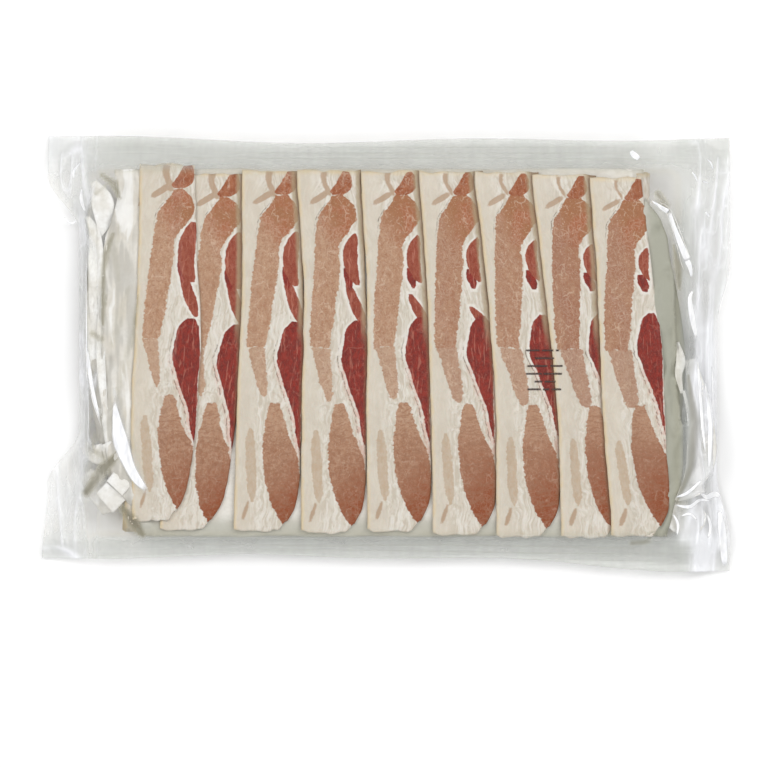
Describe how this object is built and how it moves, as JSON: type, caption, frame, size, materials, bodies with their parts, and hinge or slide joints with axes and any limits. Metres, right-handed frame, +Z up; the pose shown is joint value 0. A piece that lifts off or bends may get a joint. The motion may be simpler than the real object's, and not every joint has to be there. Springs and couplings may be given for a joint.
{
  "type": "bacon pack",
  "caption": "Flat clear sealed bag of sliced bacon laid side by side on grease-proof paper over more such layers.",
  "frame": {"origin": "under the middle of the bag, on the surface that it lies on", "axes": "+Z up out of the slices, +X along the bag from its more pinched end to the other, +Y along the slices"},
  "size_m": [0.4858, 0.3074, 0.0311],
  "materials": {
    "film": "thin clear bag film, soft sheen, creased at its ends",
    "meat": "raw cured pork, cream fat and pink to dark red lean, moist sheen",
    "paper": "white grease-proof paper, slightly translucent where damp",
    "print": "black ink on the film"
  },
  "bodies": {
    "root": {"sealed_pack": "film"}
  },
  "joints": []
}
